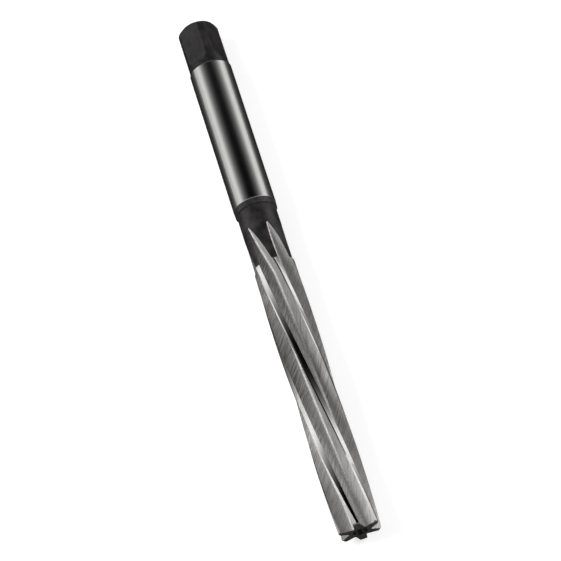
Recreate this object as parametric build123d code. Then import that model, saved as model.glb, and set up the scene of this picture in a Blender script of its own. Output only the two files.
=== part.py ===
from build123d import *

import os
from math import asin, cos, degrees, radians, sin, sqrt, tan

# Hand reamer, 10 mm, with six left-hand helical teeth and a square driving end. It is turned, milled
# and ground from one bar, so it is one solid.
#
# It is made standing on its driving end along +Z and then laid down, with the cutting tip towards +X
# and its lowest line on z = 0. A roll is an angle about the axis, measured from the top of the lying
# tool towards +Y, and every cross-section is drawn with the outward direction along its own +Y.

# Whole tool
cutting_diameter = 10.01
overall_length = 133.0
cutting_length = 67.0

# Driving end, thinner than the shank, with four milled flats that run out in the cutter's radius
tang_diameter = 9.5
tang_length = 12.0
tang_end_chamfer = 0.9
across_flats = 8.0
square_length = 11.0
flat_cutter_radius = 3.0
square_roll = 61.4

# Ground shank, then a slightly tapered band that the grinding leaves black, then the neck
shank_diameter = 9.98
shank_start_bevel = 0.3
band_diameter = 9.9
band_taper = 0.04
band_length = 1.4
neck_diameter = 9.2
neck_length = 14.5

# Teeth: opposed pairs with unequal gaps, so that the hole comes out round
tooth_gaps = (60.0, 58.0, 62.0)
first_flute_roll = -65.4
helix_angle = 7.74
margin_width = 0.28
relief_angle = 15.0

# Flutes: the wheel's V, its depth, and the curve and setting of its rim where it leaves the neck
rake_wall_lean = 28.0
back_wall_lean = 52.5
core_diameter = 5.06
root_radius = 0.35
wheel_radius = 60.0
wheel_setting_angle = 11.5
full_depth_margin = 3.0

# Lead into the hole: a long slow taper, then a short bevel; the lands start with a bevel too
taper_lead_length = 16.5
taper_lead_drop = 0.13
tip_bevel = 0.28

# Centre holes
countersink_diameter = 3.3
countersink_angle = 60.0
pilot_diameter = 1.6
pilot_depth = 2.2

cutting_radius = cutting_diameter / 2
shank_radius = shank_diameter / 2
tang_radius = tang_diameter / 2
band_radius = band_diameter / 2
neck_radius = neck_diameter / 2

land_start = overall_length - cutting_length
shank_end = land_start - neck_length
taper_start = overall_length - taper_lead_length
tip_radius = cutting_radius - taper_lead_drop
full_depth_start = land_start + full_depth_margin

turn_per_mm = degrees(tan(radians(helix_angle)) / cutting_radius)
v_half_angle = radians(rake_wall_lean + back_wall_lean) / 2
fillet_rise = root_radius / sin(v_half_angle) - root_radius
apex_radius = core_diameter / 2 - fillet_rise

# The cutters reach this far past what they cut
clear = 1.0
section_step = 7.5


def wall_roll(lean, radius):
    """The angle between a flute's root and the place where a wall of that lean meets a radius."""
    return lean - degrees(asin(apex_radius * sin(radians(lean)) / radius))


def wall_point(apex, lean, radius):
    """The point at a radius of a flute wall that leaves the apex at full depth."""
    angle = radians(wall_roll(lean, radius))
    return apex + Vector(sin(angle), cos(angle)) * radius - Vector(0, apex_radius)


def flute_section(z):
    """The wheel's V at a height, filleted at its root and closed outside the blank."""
    short = min(0.0, z - full_depth_start)
    aside = short * tan(radians(wheel_setting_angle))
    lift = (short / cos(radians(wheel_setting_angle))) ** 2 / (2 * wheel_radius)
    apex = Vector(aside, apex_radius + lift)
    back = Vector(-sin(radians(back_wall_lean)), cos(radians(back_wall_lean)))
    rake = Vector(sin(radians(rake_wall_lean)), cos(radians(rake_wall_lean)))
    tangent = root_radius / tan(v_half_angle)
    bottom = apex + (back + rake).normalized() * fillet_rise
    outside = cutting_radius + clear
    back_out = wall_point(apex, -back_wall_lean, outside)
    rake_out = wall_point(apex, rake_wall_lean, outside)
    return Wire(
        [
            Line(back_out, apex + back * tangent),
            ThreePointArc(apex + back * tangent, bottom, apex + rake * tangent),
            Line(apex + rake * tangent, rake_out),
            Line(rake_out, back_out),
        ]
    )


def relief_section(gap):
    """The sliver that backs off the land after a flute, from behind its margin to past its heel.

    It doesn't follow the taper of the lead, so the margin grows wider towards the tip.
    """
    start = wall_roll(rake_wall_lean, cutting_radius) + degrees(margin_width / cutting_radius)
    heel = gap - wall_roll(back_wall_lean, cutting_radius)
    width = radians(heel - start) * cutting_radius + clear / 2
    outward = Vector(sin(radians(start)), cos(radians(start)))
    falling = radians(start + relief_angle)
    margin_end = outward * cutting_radius
    past_heel = margin_end + Vector(cos(falling), -sin(falling)) * width
    above = outward * (cutting_radius + clear)
    return Wire([Line(margin_end, past_heel), Line(past_heel, above), Line(above, margin_end)])


def placed(section, z, roll):
    """A cross-section at its height, rolled about the axis."""
    return Location((0, 0, z), (0, 0, -roll)) * section


def helix_turn(z):
    """How far the teeth have turned at a height, counted from where the flutes reach full depth."""
    return turn_per_mm * (z - full_depth_start)


def heights(start, end, step):
    """Evenly spaced heights from start to end, no more than a step apart."""
    count = int((end - start) / step) + 1
    return [start + (end - start) * i / count for i in range(count + 1)]


def flute_cutter(roll):
    """What one flute takes away, from where the wheel's rim clears the blank to past the tip."""
    deepest = cutting_radius - apex_radius
    runout = cos(radians(wheel_setting_angle)) * sqrt(2 * wheel_radius * deepest)
    levels = heights(full_depth_start - runout, full_depth_start, section_step / 4)
    levels += heights(full_depth_start, overall_length + clear, section_step)[1:]
    sections = [placed(flute_section(z), z, roll + max(0.0, helix_turn(z))) for z in levels]
    return Solid.make_loft(sections)


def relief_cutter(roll, gap):
    """What the relief takes away behind one margin, along the whole cutting length."""
    levels = heights(land_start - clear, overall_length + clear, section_step)
    return Solid.make_loft([placed(relief_section(gap), z, roll + helix_turn(z)) for z in levels])


def blank():
    """The turned and ground bar."""
    band_end_radius = band_radius - band_taper
    shank_step = shank_radius - band_radius
    land_step = cutting_radius - neck_radius
    profile = Polyline(
        (0, 0),
        (tang_radius - tang_end_chamfer, 0),
        (tang_radius, tang_end_chamfer),
        (tang_radius, tang_length),
        (shank_radius, tang_length + shank_start_bevel),
        (shank_radius, shank_end - band_length - shank_step),
        (band_radius, shank_end - band_length),
        (band_end_radius, shank_end),
        (neck_radius, shank_end),
        (neck_radius, land_start),
        (cutting_radius, land_start + land_step),
        (cutting_radius, taper_start),
        (tip_radius, overall_length - tip_bevel),
        (tip_radius - tip_bevel, overall_length),
        (0, overall_length),
        close=True,
    )
    return revolve(Plane.XZ * make_face(profile), Axis.Z)


def centre_hole():
    """A countersink and pilot, with the mouth on z = 0, going down."""
    cone_depth = (countersink_diameter - pilot_diameter) / 2 / tan(radians(countersink_angle / 2))
    drill_point = pilot_diameter / 2 / tan(radians(countersink_angle))
    profile = Polyline(
        (0, 0),
        (countersink_diameter / 2, 0),
        (pilot_diameter / 2, -cone_depth),
        (pilot_diameter / 2, -cone_depth - pilot_depth),
        (0, -cone_depth - pilot_depth - drill_point),
        close=True,
    )
    return revolve(Plane.XZ * make_face(profile), Axis.Z)


def flat_cutter():
    """What one pass of the milling cutter takes off the driving end, on its +Y side."""
    flat = across_flats / 2
    depth = tang_radius - flat
    runout = sqrt(2 * flat_cutter_radius * depth - depth**2)
    stop = square_length - runout
    swept = Polyline(
        (flat, -clear),
        (flat, stop),
        (flat + 2 * flat_cutter_radius, stop),
        (flat + 2 * flat_cutter_radius, -clear),
        close=True,
    )
    rim = Pos(flat + flat_cutter_radius, stop) * Circle(flat_cutter_radius)
    return extrude(Plane.YZ * (make_face(swept) + rim), amount=cutting_radius, both=True)


def standing_tool():
    """The finished reamer, standing on its driving end."""
    tool = blank()
    for quarter in range(4):
        tool -= Rot(0, 0, -square_roll - 90 * quarter) * flat_cutter()
    tool -= Pos(0, 0, overall_length) * centre_hole()
    tool -= Rot(180, 0, 0) * centre_hole()
    roll = first_flute_roll
    for gap in tooth_gaps * 2:
        tool -= flute_cutter(roll)
        tool -= relief_cutter(roll, gap)
        roll += gap
    return tool


laid_down = Plane(origin=(-overall_length / 2, 0, cutting_radius), x_dir=(0, 1, 0), z_dir=(1, 0, 0))
tool = (laid_down.location * standing_tool()).solids()
reamer = tool[0]

os.makedirs("parts", exist_ok=True)
export_step(reamer, "parts/hand_reamer.step")
print("solids", len(tool), "volume", round(reamer.volume, 1), "helix lead", round(360 / turn_per_mm, 1))
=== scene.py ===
"""Hand reamer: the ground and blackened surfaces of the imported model, its studio and its camera."""

import logging
import math
from dataclasses import dataclass, field
from enum import IntEnum
from typing import Callable, Iterable, Sequence

import bmesh
import bpy
from mathutils import Matrix, Vector


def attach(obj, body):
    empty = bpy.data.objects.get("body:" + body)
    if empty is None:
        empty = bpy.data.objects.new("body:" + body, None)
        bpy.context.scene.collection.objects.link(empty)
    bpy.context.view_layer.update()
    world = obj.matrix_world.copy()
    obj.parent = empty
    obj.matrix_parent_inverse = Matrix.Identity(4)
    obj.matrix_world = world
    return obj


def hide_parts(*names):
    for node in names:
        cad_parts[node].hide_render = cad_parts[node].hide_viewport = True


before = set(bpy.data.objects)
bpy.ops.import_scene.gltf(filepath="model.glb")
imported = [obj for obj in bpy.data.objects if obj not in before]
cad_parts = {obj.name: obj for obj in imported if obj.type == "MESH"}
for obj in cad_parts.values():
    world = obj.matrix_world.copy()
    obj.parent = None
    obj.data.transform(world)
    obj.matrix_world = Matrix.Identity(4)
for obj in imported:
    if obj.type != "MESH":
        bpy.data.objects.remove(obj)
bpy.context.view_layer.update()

log = logging.getLogger("hand_reamer")

NODE = "hand_reamer"

# One millimetre, in metres
MM = 0.001

# Points that are closer than this, in metres, become one, and a shorter edge is taken out
SAME_POINT = 2e-6
NO_LENGTH = 1e-7

# In millimetres, the distance of a surface that isn't there, and one that is too small to matter
FAR = 100.0
HAIR = 0.001

# How often the search for a place is halved, the sine under which two lines count as parallel, and
# how far apart two whole numbers in a node tree may be to count as the same
HALVINGS = 40
PARALLEL = 1e-9
SAME_NUMBER = 0.1

# The gaps between strips come in a series of three, and a quarter turn is one strip of the shank
GAPS_IN_SERIES = 3
QUARTER_TURN = 90.0

Socket = bpy.types.NodeSocket
Sockets = bpy.types.bpy_prop_collection
Inputs = dict[str | int, object]
Range = tuple[float, float]
Colour = tuple[float, float, float, float]
BLACK: Colour = (0.0, 0.0, 0.0, 1.0)
WHITE: Colour = (1.0, 1.0, 1.0, 1.0)


class Finish(IntEnum):
    """The surfaces of the tool, by how each is left, some with painted light and shade."""

    BLACK_SKIN = 0
    GROUND_SHANK = 1
    GROUND_FLUTE = 2
    GROUND_LAND = 3
    TIP_FACE = 4
    # Coloured near black: painted shade deep in the holes
    CENTRE_HOLE_PAINTED_SHADE = 5
    GROUND_RAKE = 6
    GROUND_LEAD = 7
    # Coloured lighter than the flute's walls: a painted highlight along the root
    ROOT_PAINTED_HIGHLIGHT = 8
    BLACK_SQUARE = 9
    # Coloured lighter than the skin: painted light on the shoulder's face, which lies in shade
    SHOULDER_PAINTED_LIGHT = 10


Materials = dict[Finish, bpy.types.Material]


# Sizes


@dataclass(frozen=True)
class ReamerSizes:
    """The tool's sizes in millimetres and degrees, the same as the solid's.

    Only drawn_inside is this file's own: the margins are drawn that much inside their radius, so
    that the many rings of this surface stay inside the box of the solid.
    """

    # Whole tool
    length: float = 133.0
    cutting_length: float = 67.0
    cutting_radius: float = 5.005

    # Driving end, with flats that run out in the milling cutter's radius
    tang_radius: float = 4.75
    tang_length: float = 12.0
    tang_chamfer: float = 0.9
    flat_distance: float = 4.0
    square_length: float = 11.0
    flat_cutter_radius: float = 3.0
    square_roll: float = 61.4

    # Ground shank, then the black band, then the neck
    shank_radius: float = 4.99
    shank_start_bevel: float = 0.3
    band_radius: float = 4.95
    band_taper: float = 0.04
    band_length: float = 1.4
    neck_radius: float = 4.6
    neck_length: float = 14.5

    # Teeth
    tooth_gaps: tuple[float, float, float] = (60.0, 58.0, 62.0)
    first_flute_roll: float = -65.4
    helix_angle: float = 7.74
    margin_width: float = 0.28
    relief_angle: float = 15.0

    # Flutes: the lean of each wall, the depth, and the wheel that cuts them
    rake_lean: float = 28.0
    back_lean: float = 52.5
    core_radius: float = 2.53
    root_radius: float = 0.35
    wheel_radius: float = 60.0
    wheel_setting: float = 11.5
    full_depth_margin: float = 3.0

    # Lead into the hole, a long slow taper and then a bevel
    lead_length: float = 16.5
    lead_drop: float = 0.13
    tip_bevel: float = 0.28

    # Centre holes
    countersink_radius: float = 1.65
    pilot_radius: float = 0.8
    pilot_depth: float = 2.2

    drawn_inside: float = 0.004

    @property
    def land_start(self) -> float:
        """Where the ground lands begin."""
        return self.length - self.cutting_length

    @property
    def land_full(self) -> float:
        """Where the bevel at the start of the lands ends."""
        return self.land_start + self.cutting_radius - self.neck_radius

    @property
    def shank_end(self) -> float:
        """Where the neck begins."""
        return self.land_start - self.neck_length

    @property
    def full_depth_start(self) -> float:
        """Where the flutes reach full depth and start to wind."""
        return self.land_start + self.full_depth_margin

    @property
    def flat_full_end(self) -> float:
        """Where the flats start to run out in the cutter's radius."""
        depth = self.tang_radius - self.flat_distance
        return self.square_length - math.sqrt(2 * self.flat_cutter_radius * depth - depth**2)

    @property
    def turn_per_mm(self) -> float:
        """Winding of the teeth, in radians for each millimetre."""
        return math.tan(math.radians(self.helix_angle)) / self.cutting_radius

    @property
    def half_angle(self) -> float:
        """Half of the flute's V, in radians."""
        return math.radians(self.rake_lean + self.back_lean) / 2

    @property
    def apex_radius(self) -> float:
        """Where the flute's two walls would meet without the fillet."""
        return self.core_radius - self.root_radius / math.sin(self.half_angle) + self.root_radius


# Strips of surface


@dataclass
class Row:
    """One ring of points of a strip, before it is repeated round the axis and wound.

    Attributes:
        z: Distance from the driving end.
        rolls: Angle of each point from the strip's own middle, in radians.
        radii: Distance of each point from the axis.
        stretch: Share of an uneven gap that each point takes up.
        evenness: 1 where the points are spread evenly instead, 0 where they follow the shape.
        finishes: Finish of each face between this row and the next.
        crisp: Column whose line along the tool stays a sharp edge, or -1.
    """

    z: float
    rolls: list[float]
    radii: list[float]
    stretch: list[float]
    evenness: float
    finishes: list[Finish]
    crisp: int = -1

    def inner(self, z: float, radii: list[float], finish: Finish) -> "Row":
        """Makes a ring with the same rolls, for an end face or its centre hole.

        Args:
            z: The ring's distance from the driving end.
            radii: Distance of each point from the axis.
            finish: Finish of the faces up to the next ring.

        Returns:
            The ring.
        """
        return Row(z, self.rolls, radii, self.stretch, 0.0, [finish] * len(self.finishes))


@dataclass
class Strip:
    """A lengthwise strip of surface, one flute with its land or one quarter of the shank.

    Attributes:
        name: Name of its mesh and object.
        rows: Its rings of points, from the driving end to the tip.
        even_step: Angle between two points where they are spread evenly, in degrees.
        even_start: Angle of the first of those points, in degrees.
    """

    name: str
    rows: list[Row]
    even_step: float
    even_start: float

    def lay_out(self) -> bpy.types.Object:
        """Makes the strip's mesh, flat along X, with the values that the node tree reads.

        Returns:
            The object, linked to the scene.
        """
        width = len(self.rows[0].rolls)
        places = [(row.z * MM, i * MM, 0.0) for row in self.rows for i in range(width)]
        faces, finishes = [], []
        for j, row in enumerate(self.rows[:-1]):
            for i in range(width - 1):
                corner = j * width + i
                faces.append((corner, corner + width, corner + width + 1, corner + 1))
                finishes.append(row.finishes[i])
        mesh = bpy.data.meshes.new(self.name)
        mesh.from_pydata(places, [], faces)
        mesh.attributes.new("finish", "INT", "FACE").data.foreach_set("value", finishes)
        for name, numbers in self.point_values(width).items():
            mesh.attributes.new(name, "FLOAT", "POINT").data.foreach_set("value", numbers)
        piece = bpy.data.objects.new(self.name, mesh)
        bpy.context.scene.collection.objects.link(piece)
        return piece

    def point_values(self, width: int) -> dict[str, list[float]]:
        """Lists what the node tree reads at each point.

        Args:
            width: The points across the strip.

        Returns:
            The numbers of each value, by its name, row after row.
        """
        step, start = math.radians(self.even_step), math.radians(self.even_start)
        spread = [start + i * step for i in range(width)]
        return {
            "roll": [roll for row in self.rows for roll in row.rolls],
            "radius": [radius * MM for row in self.rows for radius in row.radii],
            "stretch": [share for row in self.rows for share in row.stretch],
            "even_roll": spread * len(self.rows),
            "evenness": [row.evenness for row in self.rows for _ in range(width)],
            "crisp": [float(i == row.crisp) for row in self.rows for i in range(width)],
        }


def between(start: float, end: float, count: int) -> list[float]:
    """Evenly spaced values from start to end, both included."""
    return [start + (end - start) * i / count for i in range(count + 1)]


def meeting(gap: Callable[[float], float], inside: float, outside: float) -> float:
    """Finds where a gap closes.

    Args:
        gap: The gap at a value, positive inside.
        inside: A value where the gap is open.
        outside: A value where it is closed.

    Returns:
        The last value at which the gap is still open.
    """
    for _ in range(HALVINGS):
        middle = (inside + outside) / 2
        if gap(middle) > 0:
            inside = middle
        else:
            outside = middle
    return inside


@dataclass
class CentreHole:
    """A countersink and pilot in the middle of an end face.

    Attributes:
        sizes: The tool's sizes.
        countersink: Full angle of the cone, in degrees; the drill's point has twice that angle.
    """

    sizes: ReamerSizes
    countersink: float = 60.0

    def steps(self) -> list[tuple[float, float]]:
        """Lists the rings below the mouth.

        Returns:
            Depth and radius of each, down to the drill's point.
        """
        s = self.sizes
        half_cone = math.radians(self.countersink / 2)
        cone = (s.countersink_radius - s.pilot_radius) / math.tan(half_cone)
        point = s.pilot_radius / math.tan(2 * half_cone)
        bottom = cone + s.pilot_depth
        halfway = (cone / 2, (s.countersink_radius + s.pilot_radius) / 2)
        return [halfway, (cone, s.pilot_radius), (bottom, s.pilot_radius), (bottom + point, 0.0)]


@dataclass
class FluteSection:
    """A flute's V at one distance from the driving end, seen from the tool's axis.

    Attributes:
        sizes: The tool's sizes.
        z: Distance from the driving end.
        apex: Where the two walls would meet.
        centre: Middle of the fillet between them.
        tangent_rolls: Rolls at which the fillet passes into the back wall and into the rake.
    """

    sizes: ReamerSizes
    z: float
    apex: Vector = field(init=False)
    centre: Vector = field(init=False)
    tangent_rolls: Range = field(init=False)

    def __post_init__(self) -> None:
        """Places the V, lifted and moved aside by the wheel's rim before its full depth."""
        s = self.sizes
        setting = math.radians(s.wheel_setting)
        short = min(0.0, self.z - s.full_depth_start)
        lift = (short / math.cos(setting)) ** 2 / (2 * s.wheel_radius)
        self.apex = Vector((short * math.tan(setting), s.apex_radius + lift))
        back, rake = self.wall(-s.back_lean), self.wall(s.rake_lean)
        rise = s.root_radius / math.sin(s.half_angle)
        self.centre = self.apex + (back + rake).normalized() * rise
        reach = s.root_radius / math.tan(s.half_angle)
        ends = self.apex + back * reach, self.apex + rake * reach
        self.tangent_rolls = (math.atan2(*ends[0]), math.atan2(*ends[1]))

    @staticmethod
    def wall(lean: float) -> Vector:
        """The direction of a wall that leans from the root's radius, in degrees."""
        return Vector((math.sin(math.radians(lean)), math.cos(math.radians(lean))))

    @property
    def root_roll(self) -> float:
        """The roll of the flute's lowest line."""
        return math.atan2(*self.centre)

    @property
    def root_distance(self) -> float:
        """The distance of the flute's lowest line from the axis."""
        return self.centre.length - self.sizes.root_radius

    def radius(self, roll: float) -> float:
        """Measures from the axis to the flute's surface.

        Args:
            roll: The angle at which it is measured.

        Returns:
            The distance, or FAR where a wall doesn't reach that roll.
        """
        first, last = self.tangent_rolls
        if first <= roll <= last:
            ray = Vector((math.sin(roll), math.cos(roll)))
            along = ray.dot(self.centre)
            inside = along**2 - self.centre.length_squared + self.sizes.root_radius**2
            return along - math.sqrt(max(0.0, inside))
        lean = math.radians(-self.sizes.back_lean if roll < first else self.sizes.rake_lean)
        slope = math.sin(roll - lean)
        offset = self.apex.x * math.cos(lean) - self.apex.y * math.sin(lean)
        distance = offset / slope if abs(slope) > PARALLEL else -1.0
        return distance if distance > 0 else FAR


@dataclass
class FlutedBody:
    """The neck, the six flutes with their lands, and the cutting tip.

    Attributes:
        sizes: The tool's sizes.
        back_columns: Faces across a flute's back wall.
        root_columns: Faces across its root.
        rake_columns: Faces across its rake.
        margin_columns: Faces across the margin.
        relief_columns: Faces across the backed-off land.
        drawn_gap: Gap between teeth at which the strip is drawn.
        heel_within: Share of that gap behind the root within which the heel lies.
        narrowest: Least width of the flute's columns, in degrees.
        wall_share: Least share of a flute's width that each wall keeps.
        beside_root: Share of the flute's width between the root's edge and the next column.
        spread_over: Length over which the columns spread out evenly on the neck.
        spread_rows: Rows along that length.
        first_steps: Places of the first rows after a flute's pointed end.
        runout_rows: Rows from there to the lands.
        land_bevel_row: Place of a row on the bevel that starts the lands.
        depth_rows: Rows from that bevel to full depth.
        wound_rows: Rows along the helix.
        tip_bevel_row: Place of a row on the bevel at the tip.
        face_rings: Places of the rings across the tip's face, as shares of the way in.
    """

    sizes: ReamerSizes
    back_columns: int = 6
    root_columns: int = 5
    rake_columns: int = 5
    margin_columns: int = 2
    relief_columns: int = 6
    drawn_gap: float = 60.0
    heel_within: float = 0.7
    narrowest: float = 3.0
    wall_share: float = 0.15
    beside_root: float = 0.02
    spread_over: float = 2.0
    spread_rows: int = 4
    first_steps: tuple[float, ...] = (0.1, 0.25, 0.45, 0.7, 1.0, 1.4)
    runout_rows: int = 18
    land_bevel_row: float = 0.32
    depth_rows: int = 4
    wound_rows: int = 60
    tip_bevel_row: float = 0.09
    face_rings: tuple[float, ...] = (0.5, 1.0)

    @property
    def flute_columns(self) -> int:
        """The faces across one flute."""
        return self.back_columns + self.root_columns + self.rake_columns

    @property
    def columns(self) -> int:
        """The faces across one flute and its land."""
        return self.flute_columns + self.margin_columns + self.relief_columns

    @property
    def after_margin(self) -> float:
        """Width of the margin before the lead, as an angle."""
        return self.sizes.margin_width / self.sizes.cutting_radius

    def ground_radius(self, z: float) -> float:
        """Measures the margins, with the slow taper of the lead.

        Args:
            z: Distance from the driving end.

        Returns:
            The radius of the margins there.
        """
        s = self.sizes
        down = max(0.0, z - s.length + s.lead_length) / s.lead_length
        return s.cutting_radius - s.drawn_inside - s.lead_drop * down

    def envelope(self, z: float) -> float:
        """Measures the turned and ground blank.

        Args:
            z: Distance from the driving end.

        Returns:
            The blank's radius there.
        """
        s = self.sizes
        if z <= s.land_start:
            return s.neck_radius
        radius = min(self.ground_radius(z), s.neck_radius + z - s.land_start)
        bevel_start = s.length - s.tip_bevel
        if z > bevel_start:
            radius = min(radius, self.ground_radius(s.length) - (z - bevel_start))
        return radius

    def margin_angle(self, z: float) -> float:
        """Measures the margin, which grows wider down the lead.

        It does so because the relief doesn't follow the lead.

        Args:
            z: Distance from the driving end.

        Returns:
            The margin's width as an angle.
        """
        s = self.sizes
        relief = math.radians(s.relief_angle)
        fall = math.acos(min(1.0, s.cutting_radius * math.cos(relief) / self.ground_radius(z)))
        return self.after_margin + relief - fall

    def land_radius(self, z: float, after_edge: float) -> float:
        """Measures a land, first its margin and then its relieved back.

        Args:
            z: Distance from the driving end.
            after_edge: Roll counted from the cutting edge.

        Returns:
            The land's radius there.
        """
        s = self.sizes
        relief = math.radians(s.relief_angle)
        behind = after_edge - self.after_margin
        if behind <= 0:
            return self.envelope(z)
        backed_off = s.cutting_radius * math.cos(relief) / math.cos(behind - relief)
        return min(self.envelope(z), backed_off)

    def runout_tip(self) -> float:
        """Finds where the flutes leave the neck's surface.

        Returns:
            The distance from the driving end.
        """
        s = self.sizes

        def depth(z: float) -> float:
            """How far the flute's root lies below the blank."""
            return self.envelope(z) - FluteSection(s, z).root_distance

        return meeting(depth, s.land_start, s.shank_end)

    def edges(self, z: float, cut: FluteSection) -> tuple[float, float]:
        """Finds where a flute's two walls come out.

        Args:
            z: Distance from the driving end.
            cut: The flute's section there.

        Returns:
            The roll of the heel behind the flute, and that of the cutting edge before it.
        """
        gap = math.radians(self.drawn_gap)

        def below_blank(roll: float) -> float:
            """How far the flute lies below the blank."""
            return self.envelope(z) - cut.radius(roll)

        edge = meeting(below_blank, cut.root_roll, cut.root_roll + gap / 2)

        def below_land(roll: float) -> float:
            """How far the flute lies below the land behind it."""
            return self.land_radius(z, roll + gap - edge) - cut.radius(roll)

        heel = meeting(below_land, cut.root_roll, cut.root_roll - gap * self.heel_within)
        least = math.radians(self.narrowest)
        if edge - heel < least:
            return cut.root_roll - least / 2, cut.root_roll + least / 2
        return heel, edge

    def flute_rolls(self, cut: FluteSection, heel: float, edge: float) -> list[float]:
        """Spreads the columns of a flute over its back wall, root and rake.

        Args:
            cut: The flute's section.
            heel: Roll of its heel.
            edge: Roll of its cutting edge.

        Returns:
            The roll of each point across the flute.
        """
        least = (edge - heel) * self.wall_share
        first = max(cut.tangent_rolls[0], heel + least)
        last = min(cut.tangent_rolls[1], edge - least)
        aside = (edge - heel) * self.beside_root
        rolls = between(heel, first - aside, self.back_columns - 1)
        rolls += between(first, last, self.root_columns)
        rolls += between(last + aside, edge, self.rake_columns - 1)
        return rolls

    def row(self, z: float, tip: float) -> Row:
        """Makes one ring, from the heel of one land to the heel of the next.

        Args:
            z: Distance from the driving end.
            tip: Where the flutes leave the neck's surface.

        Returns:
            The row of points.
        """
        cut = FluteSection(self.sizes, max(z, tip))
        gap = math.radians(self.drawn_gap)
        heel, edge = self.edges(z, cut)
        margin_end = edge + self.margin_angle(z)
        relief = between(margin_end, heel + gap, self.relief_columns)[1:]
        rolls = self.flute_rolls(cut, heel, edge)
        radii = [min(cut.radius(roll), self.land_radius(z, roll + gap - edge)) for roll in rolls]
        rolls += between(edge, margin_end, self.margin_columns)[1:]
        radii += [self.envelope(z)] * self.margin_columns
        crisp = len(rolls) - 1 if z > self.sizes.land_start else -1
        stretch = [0.0] * len(rolls) + between(0.0, 1.0, self.relief_columns)[1:]
        rolls += relief
        radii += [self.land_radius(z, roll - edge) for roll in relief]
        radii[-1] = radii[0]
        evenness = min(1.0, max(0.0, (tip - z) / self.spread_over))
        return Row(z, rolls, radii, stretch, evenness, self.finishes(z, tip), crisp)

    def finishes(self, z: float, tip: float) -> list[Finish]:
        """Picks the finishes of a ring's faces.

        Args:
            z: Distance from the driving end.
            tip: Where the flutes leave the neck's surface.

        Returns:
            The finish of each face, from the back wall over the root and the rake to the land.
        """
        s = self.sizes
        back, root, rake = Finish.GROUND_FLUTE, Finish.ROOT_PAINTED_HIGHLIGHT, Finish.GROUND_RAKE
        if z < tip:
            back = root = rake = Finish.BLACK_SKIN
        land = Finish.GROUND_LAND if z >= s.land_start else Finish.BLACK_SKIN
        margin = Finish.GROUND_LEAD if z > s.length - s.lead_length else land
        if z > s.length - s.tip_bevel - HAIR:
            land = margin = Finish.TIP_FACE
        faces = [back] * self.back_columns + [root] * self.root_columns + [rake] * self.rake_columns
        return faces + [margin] * self.margin_columns + [land] * self.relief_columns

    def heights(self, start: float, tip: float) -> list[float]:
        """Lists where the rings lie, close together where the shape turns quickly.

        Args:
            start: Where the first ring lies, on the neck.
            tip: Where the flutes leave the neck's surface.

        Returns:
            The distance of each ring from the driving end.
        """
        s = self.sizes
        bevel_start = s.length - s.tip_bevel
        places = [start] + between(tip - self.spread_over, tip, self.spread_rows)
        places += [tip + step for step in self.first_steps]
        places += between(tip + self.first_steps[-1], s.land_start, self.runout_rows)[1:]
        places += [s.land_start + self.land_bevel_row]
        places += between(s.land_full, s.full_depth_start, self.depth_rows)
        places += between(s.full_depth_start, bevel_start, self.wound_rows)[1:]
        return places + [bevel_start + self.tip_bevel_row, s.length]

    def rows(self, start: float) -> list[Row]:
        """Makes all the rings, over the tip's face and into its centre hole.

        Args:
            start: Where the first ring lies, on the neck.

        Returns:
            The rows, from the neck to the bottom of the centre hole.
        """
        s = self.sizes
        tip = self.runout_tip()
        rows = [self.row(z, tip) for z in self.heights(start, tip)]
        rim = rows[-1]
        rim.finishes = [Finish.TIP_FACE] * self.columns
        for share in self.face_rings:
            radii = [radius + (s.countersink_radius - radius) * share for radius in rim.radii]
            finish = Finish.TIP_FACE if share < 1 else Finish.CENTRE_HOLE_PAINTED_SHADE
            rows.append(rim.inner(s.length, radii, finish))
        for depth, radius in CentreHole(s).steps():
            radii = [radius] * len(rim.rolls)
            rows.append(rim.inner(s.length - depth, radii, Finish.CENTRE_HOLE_PAINTED_SHADE))
        return rows


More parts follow.
